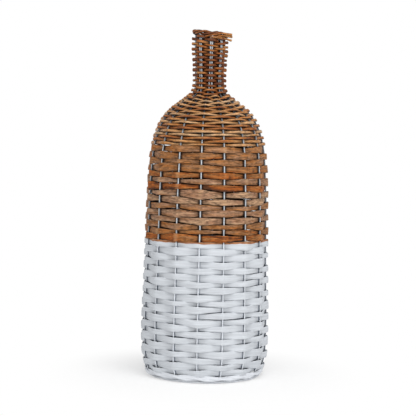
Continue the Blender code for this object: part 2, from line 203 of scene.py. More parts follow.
def read_off(at, stations, rows):
    """Rows of numbers read off between their stations, column by column, on straight lines."""
    return np.stack([np.interp(at, stations, column) for column in rows.T], axis=-1)


def outline_knots():
    """Radius and height of the bends in the stake's axis, from the corner of the foot to the rim.

    Each bend between two named sizes lies at its own shares of the way up and across.
    """
    corner_top = SPOKE_HEIGHT + CORNER_RADIUS
    knots = [(FOOT_RADIUS, corner_top)]
    for rise, swell in BELLY_SHARES:
        knots.append((between(FOOT_RADIUS, BELLY_RADIUS, swell), between(corner_top, BELLY_HEIGHT, rise)))
    knots.append((BELLY_RADIUS, BELLY_HEIGHT))
    for rise, drop in SIDE_SHARES:
        radius = between(BELLY_RADIUS, SHOULDER_RADIUS, drop)
        knots.append((radius, between(BELLY_HEIGHT, SHOULDER_HEIGHT, rise)))
    knots.append((SHOULDER_RADIUS, SHOULDER_HEIGHT))
    for rise, drop in DOME_SHARES:
        radius = between(SHOULDER_RADIUS, NECK_RADIUS, drop)
        knots.append((radius, between(SHOULDER_HEIGHT, NECK_HEIGHT, rise)))
    knots += [(NECK_RADIUS, NECK_HEIGHT), (NECK_RADIUS, FLARE_HEIGHT)]
    knots += [(MOUTH_RADIUS, FLARE_HEIGHT + FLARE_LENGTH), (MOUTH_RADIUS, STAKE_TOP)]
    return np.array(knots)


def stake_line():
    """Axis of a stake in its own plane, as radius, height, length along it and outward normal.

    A straight spoke from the hub, a quarter circle at the foot, then a cubic curve through the
    knots, whose tangent at each knot runs along the chord of its two neighbours.
    """
    samples = 24
    knots = outline_knots()
    chords = np.vstack((knots[1] - knots[0], knots[2:] - knots[:-2], knots[-1] - knots[-2]))
    tangents = unit(chords)
    t = (np.arange(samples) / samples)[None, :, None]
    start, end = knots[:-1, None], knots[1:, None]
    span = np.linalg.norm(knots[1:] - knots[:-1], axis=1)[:, None, None]
    blend = t * t * (3 - 2 * t)
    curve = start * (1 - blend) + end * blend
    curve += tangents[:-1, None] * t * (1 - t) ** 2 * span
    curve -= tangents[1:, None] * t * t * (1 - t) * span
    turn = 0.5 * np.pi * np.arange(samples) / samples
    corner = np.column_stack((
        FOOT_RADIUS - CORNER_RADIUS + CORNER_RADIUS * np.sin(turn),
        SPOKE_HEIGHT + CORNER_RADIUS - CORNER_RADIUS * np.cos(turn),
    ))
    spoke = np.array([(HUB_RADIUS + CLEARANCE, HUB_HEIGHT)])
    points = np.vstack((spoke, corner, curve.reshape(-1, 2), knots[-1:]))
    runs = np.linalg.norm(np.diff(points, axis=0), axis=1)
    arc = np.append(0.0, np.cumsum(runs))
    fine = np.arange(0, arc[-1], MM)
    points = read_off(fine, arc, points)
    slope = unit(np.gradient(points, axis=0))
    return points[:, 0], points[:, 1], fine, np.column_stack((slope[:, 1], -slope[:, 0]))


# The stake's axis in steps of 1 mm, and the step at which its wall begins
LINE_RADIUS, LINE_HEIGHT, LINE_ARC, LINE_NORMAL = stake_line()
LINE_WALL = int(np.searchsorted(LINE_RADIUS, FOOT_RADIUS - 0.1 * MM))


def arc_at_height(height):
    """Length along the stake at which its wall reaches a height."""
    return float(np.interp(height, LINE_HEIGHT[LINE_WALL:], LINE_ARC[LINE_WALL:]))


def arc_at_spoke(radius):
    """Length along the stake at which its spoke reaches a radius."""
    return float(np.interp(radius, LINE_RADIUS[:LINE_WALL], LINE_ARC[:LINE_WALL]))


def line_at(arc):
    """Radius, height and outward normal of the stake's axis at lengths along it."""
    radius = np.interp(arc, LINE_ARC, LINE_RADIUS)
    height = np.interp(arc, LINE_ARC, LINE_HEIGHT)
    return radius, height, unit(read_off(arc, LINE_ARC, LINE_NORMAL))


BAND_ARC = arc_at_height(BAND_HEIGHT)
PAIRING_ARC = arc_at_height(PAIRING_HEIGHT)
PAIRED_ARC = arc_at_height(NECK_HEIGHT)
NECK_ARC = LINE_ARC[-1] - PAIRED_ARC
PAIR_MIDDLE = FIRST_STAKE + 0.5 * STAKE_PITCH


def pairing_share(arc):
    """How far the stakes have drawn together into pairs: 0 on the body and 1 on the neck."""
    return ease((arc - PAIRING_ARC) / (PAIRED_ARC - PAIRING_ARC))


def half_pair_angle(arc):
    """Angle from the middle of a pair to its stakes: half a pitch, and on the neck their close spacing.

    From six tenths of the way up the neck, the two lie side by side.
    """
    spacing = between(PAIR_SPACING, TOP_PAIR_SPACING, ease((arc - PAIRED_ARC) / (0.6 * NECK_ARC)))
    closed = 0.5 * spacing / line_at(arc)[0]
    return between(0.5 * STAKE_PITCH, closed, pairing_share(arc))


def stake_angle(stake, half):
    """Angle of a stake that stands HALF to one side of the middle of its pair."""
    return PAIR_MIDDLE + 2 * STAKE_PITCH * (stake // 2) + np.where(stake % 2, half, -half)


# Waves of the weave: height in millimetres, waves round the vase, turn along a metre of stake, start
WAVES = (
    (0.45, 2, 23, 0.0), (0.35, 5, -41, 1.3), (0.25, 9, 97, 0.0), (0.55, 3, 190, 0.7), (0.45, -4, 262, 2.1),
)


def settle(arc, angle):
    """How far the weave has slipped along the stakes: five sine waves, and the slope of the neck and mouth.

    The short waves, which make some rows taller than others, are weaker in the thin rods. The
    rows dip between the pairs of stakes where the neck begins, the mouth is lower on the right, and
    the rows above the flat strips lie higher at the back.
    """
    waves = sum(
        height * MM * np.sin(count * angle + turn * arc + start) * thin_share(arc, turn)
        for height, count, turn, start in WAVES
    )
    crown = np.exp(-(((arc - PAIRED_ARC + 6 * MM) / (13 * MM)) ** 2))
    pairs = NECK_WAVE * crown * np.cos(STAKES // 2 * (angle - PAIR_MIDDLE))
    slope = RIM_SLOPE * (np.sin(angle) + 0.55) * ease((arc - PAIRED_ARC) / NECK_ARC) ** 2
    climb = 0.5 * BACK_CLIMB * (1 - np.cos(angle)) * ease((arc - BAND_ARC) / 0.03 + 0.5)
    return waves + pairs - slope + climb * ease((LINE_ARC[-1] - arc) / 0.04)


def thin_share(arc, turn):
    """Strength of a wave: whole on the body, and on the shoulder and neck the weaker the shorter it is."""
    return 1 - ease((arc - BAND_ARC) / 0.02) * min(1.0, abs(turn) / 320)


def crowding(arc, angle):
    """Height of the rows as a share of their pitch: one plus the slope of the slipping along the stake."""
    step = 1 * MM
    return 1 + (settle(arc + step, angle) - settle(arc - step, angle)) / (2 * step)


def upright(points):
    """The upward direction, once for each point."""
    return np.broadcast_to(np.array((0.0, 0.0, 1.0)), points.shape)


def place(radius, angle, height):
    """Points at angles from the front, which faces -Y, towards +X: x by the sine, and -y by the cosine."""
    return np.stack((radius * np.sin(angle), -radius * np.cos(angle), height), axis=-1)


class Weave:
    """A woven zone: where it runs on the stakes and how its rows climb.

    UNEVEN says how much the edges of its rows stray, and PAIRED that its weavers go over pairs of stakes.
    """

    def __init__(self, start, end, turns, uneven, seam=SEAM, paired=False):
        self.start = start
        self.turns = turns
        self.seam_share, self.seam_stake = seam
        self.paired = paired
        self.pitch = (end - start) / (2 * turns)
        self.edges = [uneven * smooth(rng.normal(0, 1, STAKES * (turns + 2)), 1) for _ in range(2)]

    def ends(self):
        """Numbers of the stops at which its weavers start and end."""
        return 1 - round(STAKES * self.seam_share), STAKES * self.turns - 1

    def row_share(self, turn):
        """Share of the full row: the tips taper in the seam before the first turn and in the last."""
        rise = (turn + self.seam_share) / self.seam_share
        fall = (self.turns - turn) / self.seam_share
        return np.clip(np.minimum(rise, fall), 0.0, 1.0)

    def row_arc(self, turn, order):
        """Middle of the row: the sum of all the rows below it at that angle, and half its own."""
        whole = np.floor(turn)
        below = np.zeros_like(turn)
        for lower in range(-1, self.turns):
            below += np.where(lower < whole, 2 * self.row_share(turn - whole + lower), 0.0)
        return self.start + self.pitch * (below + (0.5 + order) * self.row_share(turn))

    def row_edges(self, stops, order):
        """How far the lower and upper edges of a row stray at its stops, as shares of the pitch.

        Neighbouring rows share an edge: one list holds those between A and the B above it, the other
        those between B and the A above it, a turn later. The zone's own two edges stay straight.
        """
        step = (stops // 2 * 2 if self.paired else stops) + STAKES
        inner = self.edges[0][step]
        above = self.edges[1][step] * np.clip((STAKES * (self.turns - 1) - stops) / 2, 0, 1)
        below = self.edges[1][step - STAKES] * np.clip((stops - STAKES) / 2, 0, 1)
        return (inner, above) if order else (below, inner)


def crossing_offset(reach, radius, lean):
    """Offset from the stakes' circle at which a weaver, sloping to the next stake, clears them by REACH.

    It is REACH times the root of one plus the square of the slope: twice the offset, and the circle's
    fall from one stake to the next, over the run between them.
    """
    run = radius * math.sin(STAKE_PITCH)
    sagitta = np.abs(lean) * radius * (1 - math.cos(STAKE_PITCH))
    offset = reach
    for _ in range(6):
        offset = reach * np.hypot(1, (2 * offset + sagitta) / run)
    return offset


def smooth(values, passes):
    """Round off the corners of a row of samples: each pass mixes half of it with its two neighbours."""
    values = np.array(values, float)
    for _ in range(passes):
        inner = 0.25 * values[:-2] + 0.5 * values[1:-1] + 0.25 * values[2:]
        values = np.concatenate((values[:1], inner, values[-1:]))
    return values


def weaver_path(weave, order, first, last, make):
    """Path of one weaver: straight runs from stake to stake, rounded where it bends over them.

    At each stake it stands off the wire, outwards and inwards in turn, by its own half thickness, and
    by its bulge more where it goes outside, which on the neck begins with the rows over closed pairs.
    Where the wall leans, it also slips along the wire, so that it stays nearly level, but less where the
    wall leans by more than 50 degrees.
    Returns the points, the across direction, the stop numbers, the row share with the crowding of
    the rows, and how far outside it is: 1 over a stake, -1 behind one, and straight between them.
    """
    steps, stray, bulge = make["steps"], make["stray"], make["bulge"]
    stops = np.arange(math.floor(first) - 1, math.ceil(last) + 2)
    turn = stops / STAKES
    share = weave.row_share(turn)
    arc = weave.row_arc(turn, order)
    stake = weave.seam_stake + stops
    radius, height, normal = line_at(arc)
    reach = STAKE_RADIUS + CLEARANCE + 0.5 * make["thickness"] * share
    half = half_pair_angle(arc)
    if weave.paired:
        half = half + PAIR_PASSING / radius
        outside = np.where((stake // 2 + order) % 2 == 0, 1.0, -1.0)
        offset = reach * PAIR_REACH
        bulge = bulge * pairing_share(arc)
    else:
        outside = np.where((stake + order) % 2 == 0, 1.0, -1.0)
        offset = crossing_offset(reach, radius, normal[:, 0])
    angle = stake_angle(stake, half)
    low, high = weave.row_edges(stops, order)
    lean = normal[:, 0] * normal[:, 1] / np.maximum(normal[:, 0] ** 2, 0.4)
    level = between(LEVELLING, 1.0, 0.5 - 0.5 * np.cos(angle))
    arc = arc + 0.5 * weave.pitch * share * (low + high) - level * outside * offset * lean
    share = share * (1 + high - low) * crowding(arc, angle)
    arc = arc + settle(arc, angle) + stray * rng.uniform(-1, 1, len(stops)) * share
    radius, height, normal = line_at(arc)
    offset = outside * offset + (bulge + 0.3 * stray * rng.uniform(0, 1, len(stops))) * (outside > 0)
    corner = place(radius + offset * normal[:, 0], angle, height + offset * normal[:, 1])
    across = place(-normal[:, 1], angle, normal[:, 0])
    numbers = np.arange(round(first * steps), round(last * steps) + 1) / steps
    wide = np.arange((math.floor(first) - 1) * steps, (math.ceil(last) + 1) * steps + 1) / steps
    points = smooth(read_off(wide, stops, corner), make["rounding"])
    keep = np.searchsorted(wide, numbers - 1e-9)
    across = read_off(numbers, stops, across)
    share = np.interp(numbers, stops, share)
    return points[keep], across, numbers, share, np.interp(numbers, stops, outside)


def carry(points, along, across, widths, depths, section, roll=None):
    """Rings of a section carried along a path, and each vertex's place in the straightened weaver.

    The section's first column runs across the weaver, scaled by half its width, and its second
    outwards, scaled by half its depth. Outwards is ALONG cross ACROSS, and ROLL turns the section
    about the path. The place is the length along the path, then the two scaled columns.
    """
    along = unit(along)
    out = unit(np.cross(along, across))
    up = np.cross(out, along)
    if roll is not None:
        cosine, sine = np.cos(roll)[:, None], np.sin(roll)[:, None]
        out, up = out * cosine - up * sine, out * sine + up * cosine
    u = 0.5 * widths[:, None] * section[None, :, 0]
    v = 0.5 * depths[:, None] * section[None, :, 1]
    rings = points[:, None] + u[..., None] * up[:, None] + v[..., None] * out[:, None]
    run = np.append(0.0, np.cumsum(np.linalg.norm(np.diff(points, axis=0), axis=1)))
    return rings, np.stack((np.broadcast_to(run[:, None], u.shape), u, v), axis=-1)


def sweep(points, across, widths, depths, section, roll=None):
    """Carry a closed section along a path and close its ends: vertices, faces and places in the weaver."""
    rings, grain = carry(points, np.gradient(points, axis=0), across, widths, depths, section, roll)
    count, sides = rings.shape[:2]
    index = np.arange(count * sides).reshape(count, sides)
    ahead = np.roll(index, -1, axis=1)
    quads = np.stack((index[:-1], ahead[:-1], ahead[1:], index[1:]), axis=-1).reshape(-1, 4)
    near, far = count * sides, count * sides + 1
    tips = np.concatenate((
        np.stack((ahead[0], index[0], np.full(sides, near)), axis=-1),
        np.stack((index[-1], ahead[-1], np.full(sides, far)), axis=-1),
    ))
    vertices = np.vstack((rings.reshape(-1, 3), rings[0].mean(0), rings[-1].mean(0)))
    grain = np.vstack((grain.reshape(-1, 3), grain[0].mean(0), grain[-1].mean(0)))
    return vertices, quads, tips, grain


def strip_section(crown=0.0):
    """Section of split willow: a flat oblong, slightly crowned outside, with its four long edges rounded.

    The outer face falls by CROWN times the square of the distance across, in half thicknesses.
    """
    outer = ((1.0, 0.15), (0.97, 0.60), (0.90, 0.84), (0.78, 0.93), (0.45, 1.0))
    outer = [(across, depth - crown * across**2) for across, depth in outer]
    inner = ((0.5, -0.85), (0.9, -0.75), (1.0, -0.35))
    mirrored = [(-across, depth) for across, depth in outer[::-1]]
    return np.array((*outer, *mirrored, *((-across, depth) for across, depth in inner[::-1]), *inner))


def rod_section(sides):
    """Section of a round rod: the cosine and the sine of equal turns."""
    angle = 2 * np.pi * np.arange(sides) / sides
    return np.column_stack((np.cos(angle), np.sin(angle)))


def painted_weave_shade(behind, shade, section, sharpness):
    """Painted shade of the weave at each vertex, 0 to 1: on its long edges, and on all of it close behind a
    stake.

    The edge share is SHADE times a power of the distance across, and 0.6 of that on the upper edge,
    which is in the light. What the two shares leave bright is multiplied.
    """
    edge = np.outer(shade, np.abs(section[:, 0]) ** sharpness * np.where(section[:, 0] > 0, 0.6, 1.0))
    return np.append(1 - (1 - behind)[:, None] * (1 - edge), (1.0, 1.0))


def near_stops(numbers, chosen, reach):
    """A flat-topped bell at each chosen stop: e to minus the fourth power of the distance over REACH."""
    return np.exp(-(((numbers - np.round(numbers)) / reach) ** 4)) * chosen


def back_share(points):
    """0 at the front of the vase and 1 at its back: half of 1 and the sine of the way round."""
    return 0.5 + 0.5 * points[:, 1] / np.hypot(points[:, 0], points[:, 1])


def add_piece(name, shape, tone, marks, finish, replaced=()):
    """A mesh object with its own grain coordinates, tone and marks, riding on the vase: worn bends with a
    painted highlight, and painted shade.

    TONE and each of MARKS is a number for every vertex, or one for all.
    """
    vertices, quads, tips, grain = shape
    mesh = bpy.data.meshes.new(name)
    mesh.from_pydata(vertices.tolist(), [], quads.tolist() + tips.tolist())
    stored = mesh.attributes.new("grain", "FLOAT_VECTOR", "POINT")
    stored.data.foreach_set("vector", grain.astype(np.float32).ravel())
    for title, values in {"tone": tone, **marks}.items():
        shade = mesh.attributes.new(title, "FLOAT", "POINT")
        shade.data.foreach_set("value", np.full(len(vertices), values, np.float32))
    mesh.shade_smooth()
    mesh.materials.append(finish)
    piece = bpy.data.objects.new(name, mesh)
    bpy.context.scene.collection.objects.link(piece)
    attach(piece, "root")
    if replaced:
        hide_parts(*replaced)


def per_vertex(values, sides):
    """Repeat a value per ring for all its vertices, and for the two tips."""
    return np.append(np.repeat(values, sides), (values[0], values[-1]))


def splice_tones(numbers, span, tones):
    """A tone for each length of willow: that of its turn, given or random in SPAN, and a stray from it.

    Each turn is spliced at the back, and once more behind a random stake.
    """
    turns = np.arange(math.floor(numbers[0] / STAKES), math.ceil(numbers[-1] / STAKES) + 1)
    chosen = rng.uniform(*span, len(turns))
    for turn, tone in tones.items():
        chosen[np.searchsorted(turns, turn)] = tone
    second = STAKES * turns + 2 * rng.integers(1, 7, len(turns)) + 1
    joints = np.sort(np.append(STAKES * turns, second))
    place_in = np.searchsorted(joints, numbers)
    strays = rng.normal(0, 0.06, len(joints) + 1)
    return np.clip(chosen[np.searchsorted(turns, np.floor(numbers / STAKES))] + strays[place_in], 0, 1)


def add_strip(name, weave, order, first, last, strip, tones, finish, nodes):
    """One flat weaver of the body: as wide over a stake as its row, and narrower where it goes behind one.

    Its edges are ragged, and one run in ten is a fifth narrower. It rolls a little about its length, and
    it is worn and carries a painted highlight where it bends over a stake. Painted shade darkens its edges
    and the runs just behind a stake.
    """
    points, across, numbers, share, outness = weaver_path(weave, order, first, last, strip)
    stops = np.arange(math.floor(first) - 1, math.ceil(last) + 2)
    wander = np.interp(numbers, stops, rng.uniform(-1, 1, len(stops)))
    halves = np.arange(2 * stops[0], 2 * stops[-1] + 1) / 2
    ragged = strip["ragged"] * (smooth(rng.normal(0, 1, len(numbers)), 2) + wander)
    ragged -= 0.2 * np.interp(numbers, stops + 0.5, rng.uniform(0, 1, len(stops)) > 0.9)
    widening = BACK_WIDENING * back_share(points)
    width = weave.pitch * (strip["width"] + strip["swell"] * outness + ragged + widening) * share
    depth = strip["thickness"] * (1 + 0.12 * wander) * np.minimum(share, 1.0)
    roll = np.interp(numbers, halves, rng.normal(0, strip["roll"], len(halves)))
    section = strip_section(strip["crown"])
    shape = sweep(points, across, width, depth, section, smooth(roll, 2))
    tone = per_vertex(splice_tones(numbers, (0, 1), tones), len(section))
    # Bends over a stake: worn pale, and partly a painted highlight where the light catches the crease
    rub_and_highlight_strength = rng.uniform(0, 1, len(stops)) ** 2
    bend = near_stops(numbers, outness > 0, 0.09) * np.interp(numbers, stops, rub_and_highlight_strength)
    # Painted shadow close behind a stake, and painted shade on the edges, least over a stake
    behind = near_stops(numbers, outness < 0, strip["shadow"])
    shade = between(strip["painted_gloom"], 1.0, ease(strip["painted_gloom"] - outness))
    marks = {"rub_and_highlight": per_vertex(bend, len(section)), "painted_shade": painted_weave_shade(behind, shade, section, 7)}
    add_piece(name, shape, tone, marks, finish, nodes)


def add_foot_twine(finish):
    """Two thin strips twined under the lowest rows, outside the stakes, which turn in there.

    Each goes half round the other from one stake to the next: its height and its radius swing by the
    cosine and the sine of that turn. They cross in front of the stakes.
    """
    steps = 12
    numbers = np.arange(STAKES * steps + 1) / steps
    angle = FIRST_STAKE + STAKE_PITCH * (numbers + SEAM[1])
    reach = FOOT_RADIUS + TWINE_OUTSET
    slip = settle(arc_at_height(BODY_WEAVE_START), angle)
    ends = ease(np.minimum(numbers, numbers[-1] - numbers) / 0.5)
    section = strip_section()
    for strand in range(2):
        turn = np.pi * (numbers + 0.5 + strand)
        wander = smooth(rng.normal(0, 1, len(numbers)), 8)
        height = TWINE_HEIGHT + slip + 0.26 * TWINE_WIDTH * np.cos(turn) + 0.8 * MM * wander
        points = place(reach + 0.55 * TWINE_DEPTH * np.sin(turn), angle, height)
        width = TWINE_WIDTH * (0.4 + 0.6 * ends) * (1 + smooth(rng.normal(0, 0.05, len(numbers)), 2))
        shape = sweep(points, upright(points), width, TWINE_DEPTH * (0.4 + 0.6 * ends), section)
        # Painted shade on the strands' edges, varying as they twine
        edge = 0.4 + 0.5 * np.abs(np.sin(turn))
        marks = {"rub_and_highlight": 0.0, "painted_shade": painted_weave_shade(0 * numbers, edge, section, 5)}
        add_piece(f"foot_twine_{strand + 1}", shape, 0.5, marks, finish)


def add_rod(name, weave, order, rod, finish, nodes):
    """One thin oval rod: a little thicker and thinner along its way, and bent smoothly over wires.

    It is taller where it is pressed on a wire, and most of all at the back.
    """
    first, last = weave.ends()
    points, across, numbers, share, outness = weaver_path(weave, order, first, last, rod)
    stops = np.arange(first - 1, last + 2, 2)
    wander = smooth(np.interp(numbers, stops, rng.uniform(-1, 1, len(stops))), 4)
    swell = (1 + 0.06 * wander) * np.minimum(share, 1.25)
    section = rod_section(14)
    press = 1 + 0.08 * outness**2 + (rod["taller"] + 0.18 * outness**2) * back_share(points)
    shape = sweep(points, across, rod["height"] * swell * press, rod["thickness"] * swell, section)
    tone = per_vertex(splice_tones(numbers, rod["tones"], {}), len(section))
    # Painted shade behind the stakes, and on the rod's edges
    begin, steep = rod["shade"]
    behind = 0.95 * ease((begin - outness) * steep)
    marks = {"painted_shade": painted_weave_shade(behind, 1.0, section, rod["sharpness"])}
    add_piece(name, shape, tone, marks, finish, nodes)


def add_stakes(finish):
    """The sixteen wires, swept along the stake's axis and up to half a millimetre out of true on the body."""
    arc = np.append(np.arange(0, LINE_ARC[-1], 3 * MM), LINE_ARC[-1])
    radius, height, _ = line_at(arc)
    steady = between(1.0, 0.15, pairing_share(arc))
    width = np.full(len(arc), 2 * STAKE_RADIUS)
    section = rod_section(12)
    for stake in range(STAKES):
        angle = stake_angle(stake, half_pair_angle(arc))
        bend = np.interp(arc, np.linspace(0, arc[-1], 9), rng.uniform(-0.5, 0.5, 9)) * MM
        angle = angle + smooth(bend, 40) * steady / radius
        drop = settle(arc[-1], angle[-1]) * ease((arc - PAIRED_ARC) / NECK_ARC)
        points = place(radius, angle, height + drop)
        across = place(1.0, angle + 0.5 * np.pi, 0 * angle)
        shape = sweep(points, across, width, width, section)
        node = f"stake_{stake + 1:02d}"
        add_piece(f"wire_{node}", shape, rng.uniform(), {}, finish, (node,))


def add_border(name, radius, height, core, strand, crests, slope, finish, nodes):
    """A rod laid round three times and twisted on itself: a helix carried round the ring.

    Its thickness wanders a little, and what would reach below the floor is pressed flat on it. Painted shade
    darkens the edges of its rod, and on a ring that slopes to the right, which has a twist that wanders too,
    also the strands where they turn to the inside of the ring.
    """
    steps = 150
    count = BORDER_TURNS * steps
    angle = 2 * np.pi * np.arange(count) / steps
    whole = angle / BORDER_TURNS
    drift = 0.35 * np.sin(whole * 4 + 1) + 0.25 * np.sin(whole * 13)
    twist = angle * crests / BORDER_TURNS - 0.5 * np.pi + drift * (slope > 0)
    around = PAIR_MIDDLE + angle
    swell = 1 + 0.08 * np.sin(whole * 11) + 0.06 * np.sin(whole * 29 + 2)
    lift = -slope * (np.sin(around) + 0.3) + 0.15 * slope * np.sin(3 * around)
    points = place(radius + core * np.cos(twist), around, height + core * np.sin(twist) + lift)
    section = rod_section(12)
    sides = len(section)
    along = np.roll(points, -1, axis=0) - np.roll(points, 1, axis=0)
    width = 2 * strand * swell
    rings, grain = carry(points, along, upright(points), width, width, section)
    rings[..., 2] = np.maximum(rings[..., 2], 0.0)
    index = np.arange(count * sides).reshape(count, sides)
    ahead, on = np.roll(index, -1, axis=1), np.roll(index, -1, axis=0)
    quads = np.stack((index, ahead, np.roll(ahead, -1, axis=0), on), axis=-1).reshape(-1, 4)
    shape = rings.reshape(-1, 3), quads, np.zeros((0, 3), int), grain.reshape(-1, 3)
    tone = np.repeat(rng.uniform(0.1, 0.6, 12)[(angle / (2 * np.pi) * 4).astype(int)], sides)
    # Painted shade on the rod's edges, and on a sloping ring where the strands turn inwards
    inward = np.clip(-np.cos(twist), 0, 1) if slope else 0 * twist
    painted_shade = 1 - np.outer(1 - 0.6 * inward, 1 - 0.95 * np.abs(section[:, 0]) ** (1.7 if slope else 3))
    add_piece(name, shape, tone, {"painted_shade": painted_shade.ravel()}, finish, nodes)


def add_rim_ends(finish):
    """Three blunt ends at the right of the mouth, of the border's rod and of the last weavers.

    Each follows the ring up to the angle where it leaves it, then runs straight on along the tangent.
    """
    section = rod_section(12)
    for number, (enter, leave, run, heights, outset, thick) in enumerate(RIM_ENDS, 1):
        ring = np.radians(np.arange(enter, leave + 0.1, 2.0))
        points = place(RIM_BORDER_RADIUS + outset * MM, ring, 0 * ring)
        ahead = np.array((math.cos(ring[-1]), math.sin(ring[-1]), 0.0))
        points = np.vstack((points, points[-1] + np.arange(1, run + 0.1)[:, None] * MM * ahead))
        share = np.linspace(0, 1, len(points))
        points[:, 2] = RIM_BORDER_HEIGHT + MM * smooth(np.interp(share, (0, 0.6, 1), heights), 12)
        width = 2 * RIM_STRAND * np.interp(share, (0, 0.8, 1), thick)
        shape = sweep(points, upright(points), width, width, section)
        # Painted shade on the ends' edges
        tone, painted_shade = 0.25 + 0.1 * number, painted_weave_shade(0 * share, 0.95, section, 3)
        add_piece(f"rim_rod_end_{number}", shape, tone, {"painted_shade": painted_shade}, finish)


def linear(value):
    """An sRGB hex colour as linear red, green, blue and alpha."""
    channels = [int(value[i:i + 2], 16) / 255 for i in (0, 2, 4)]
    return [c / 12.92 if c <= 0.04045 else ((c + 0.055) / 1.055) ** 2.4 for c in channels] + [1.0]


def add_node(material, kind, settings=(), values=(), links=()):
    """Add a node: its own settings, the values on its sockets, and links from other nodes' outputs."""
    made = material.node_tree.nodes.new(kind)
    for name, value in dict(settings).items():
        setattr(made, name, value)
    for name, value in dict(values).items():
        made.inputs[name].default_value = value
    for name, output in dict(links).items():
        material.node_tree.links.new(output, made.inputs[name])
    return made


def new_finish(name, roughness, gloss=0.5):
    """A material with its shader's plain values. Wood, paint and the wire's coat have an IOR near 1.5."""
    made = bpy.data.materials.new(name)
    made.use_nodes = True
    shader = made.node_tree.nodes["Principled BSDF"]
    shader.inputs["Roughness"].default_value = roughness
    shader.inputs["Specular IOR Level"].default_value = gloss
    shader.inputs["IOR"].default_value = 1.5
    shader.inputs["Metallic"].default_value = 0.0
    return made, shader


def set_stops(ramp, stops):
    """Give a colour ramp its stops, as places and sRGB hex colours."""
    while len(ramp.color_ramp.elements) < len(stops):
        ramp.color_ramp.elements.new(0.5)
    for element, (at, colour) in zip(ramp.color_ramp.elements, stops):
        element.position = at
        element.color = linear(colour)
    return ramp.outputs["Color"]


def grain_field(made, along, across, detail, shift=0.0):
    """Noise stretched along the willow: one cell is ALONG by ACROSS, in metres."""
    grain = add_node(made, "ShaderNodeAttribute", {"attribute_name": "grain"})
    mapped = add_node(
        made, "ShaderNodeMapping", {},
        {"Location": (shift, shift, 0), "Scale": (1 / along, 1 / across, 1 / across)},
        {"Vector": grain.outputs["Vector"]},
    )
    return add_node(
        made, "ShaderNodeTexNoise", {}, {"Scale": 1.0, "Detail": detail, "Roughness": 0.6},
        {"Vector": mapped.outputs["Vector"]},
    ).outputs["Fac"]


def fade_to(made, colour, other, field, low, high, most=1.0):
    """Turn a colour into another one, up to the share MOST, as a field goes from low to high."""
    share = add_node(
        made, "ShaderNodeMapRange", {}, {"From Min": low, "From Max": high, "To Max": most}, {"Value": field}
    ).outputs["Result"]
    return add_node(
        made, "ShaderNodeMix", {"data_type": "RGBA"}, {7: linear(other)}, {0: share, 6: colour}
    ).outputs[2]


def dim_by(made, colour, field, low, high, first, last):
    """Multiply a colour by a grey that goes from FIRST to LAST as a field goes from low to high."""
    grey = add_node(
        made, "ShaderNodeMapRange", {}, {"From Min": low, "From Max": high, "To Min": first, "To Max": last},
        {"Value": field},
    ).outputs["Result"]
    return add_node(
        made, "ShaderNodeMix", {"data_type": "RGBA", "blend_type": "MULTIPLY"}, {0: 1.0}, {6: colour, 7: grey}
    ).outputs[2]


def depth_in_piece(made):
    """How far a point lies from the middle of its own piece, in metres: outwards, but on a wire inwards."""
    grain = add_node(made, "ShaderNodeAttribute", {"attribute_name": "grain"}).outputs["Vector"]
    return add_node(made, "ShaderNodeSeparateXYZ", {}, {}, {"Vector": grain}).outputs["Z"]


def shade_crevices(made, colour, painted_gloom, inside):
    """Darken a colour towards a dark shade colour by the painted shade in the weave's recesses, and to INSIDE
    on the inner faces, as painted shade of the vase's dark inside.
    """
    painted_shade = add_node(made, "ShaderNodeAttribute", {"attribute_name": "painted_shade"}).outputs["Fac"]
    colour = add_node(
        made, "ShaderNodeMix", {"data_type": "RGBA", "blend_type": "MULTIPLY"}, {7: linear(painted_gloom)},
        {0: painted_shade, 6: colour},
    ).outputs[2]
    return fade_to(made, colour, inside, depth_in_piece(made), -0.1 * MM, -0.8 * MM)


def dress(made, shader, colour, fibre, strength, depth):
    """Give a finish its colour, and raise its fibres a little, so that the light catches them."""
    bump = add_node(made, "ShaderNodeBump", {}, {"Strength": strength, "Distance": depth}, {"Height": fibre})
    made.node_tree.links.new(bump.outputs["Normal"], shader.inputs["Normal"])
    made.node_tree.links.new(colour, shader.inputs["Base Color"])
    return made


def natural_willow(made, stops, fibre, patch):
    """Colour of bare willow: its splice's tone, with patches PATCH long, flecks of 8 by 2 mm and fibres."""
    tone = add_node(made, "ShaderNodeAttribute", {"attribute_name": "tone"}).outputs["Fac"]
    cloud = add_node(
        made, "ShaderNodeMapRange", {}, {"From Min": 0.25, "From Max": 0.75, "To Min": -0.32, "To Max": 0.32},
        {"Value": grain_field(made, patch, 0.006, 2.0)},
    ).outputs["Result"]
    level = add_node(made, "ShaderNodeMath", {"operation": "ADD"}, {}, {0: tone, 1: cloud}).outputs[0]
    colour = set_stops(add_node(made, "ShaderNodeValToRGB", {}, {}, {"Fac": level}), stops)
    mottle = grain_field(made, 0.008, 0.002, 4.0, shift=7.0)
    colour = dim_by(made, colour, mottle, 0.38, 0.62, 0.56, 1.3)
    return dim_by(made, colour, fibre, 0.36, 0.66, 0.72, 1.14)


